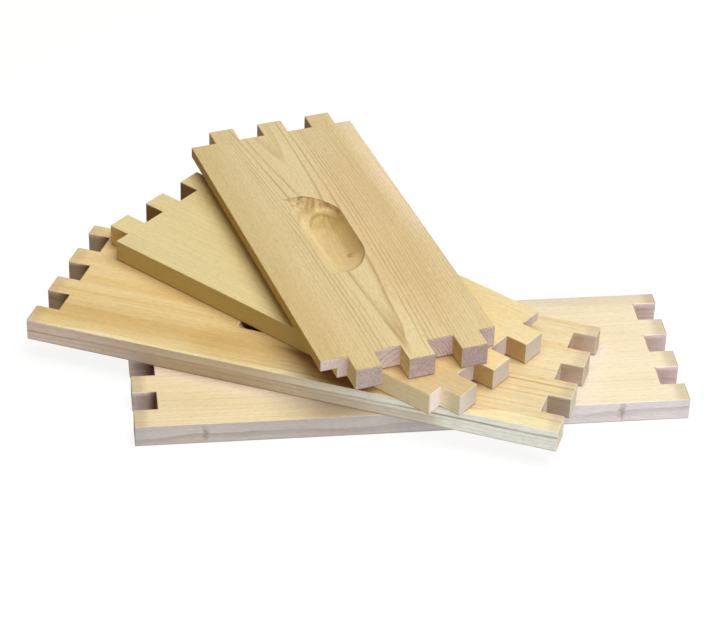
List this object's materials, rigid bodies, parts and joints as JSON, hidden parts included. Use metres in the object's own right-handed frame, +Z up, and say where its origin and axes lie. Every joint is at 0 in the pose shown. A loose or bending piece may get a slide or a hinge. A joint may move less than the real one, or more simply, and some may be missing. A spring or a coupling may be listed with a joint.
{
  "type": "flat-packed hive box",
  "caption": "Flat-packed hive box: planed pine side and end boards with finger-jointed ends, scooped hand holds and rebated frame rests, laid loose in a fanned pile.",
  "frame": {"origin": "centre of the underside of the lowest board, which lies flat on the floor", "axes": "+X along the lowest board, +Y across it towards its bottom edge, +Z up"},
  "size_m": [0.601, 0.4839, 0.088],
  "materials": {
    "pine": "planed softwood, bare, with sawn end grain"
  },
  "bodies": {
    "lower_side": {"side_board_lower": "pine"},
    "upper_side": {"side_board_upper": "pine"},
    "lower_end": {"end_board_lower": "pine"},
    "upper_end": {"end_board_upper": "pine"}
  },
  "joints": [
    {"name": "upper_side_lift", "type": "slide", "parent": "lower_side", "child": "upper_side", "axis": [0, 0, 1], "range_m": [0, 0.12]},
    {"name": "lower_end_lift", "type": "slide", "parent": "upper_side", "child": "lower_end", "axis": [0, 0, 1], "range_m": [0, 0.12]},
    {"name": "upper_end_lift", "type": "slide", "parent": "lower_end", "child": "upper_end", "axis": [0, 0, 1], "range_m": [0, 0.12]}
  ]
}
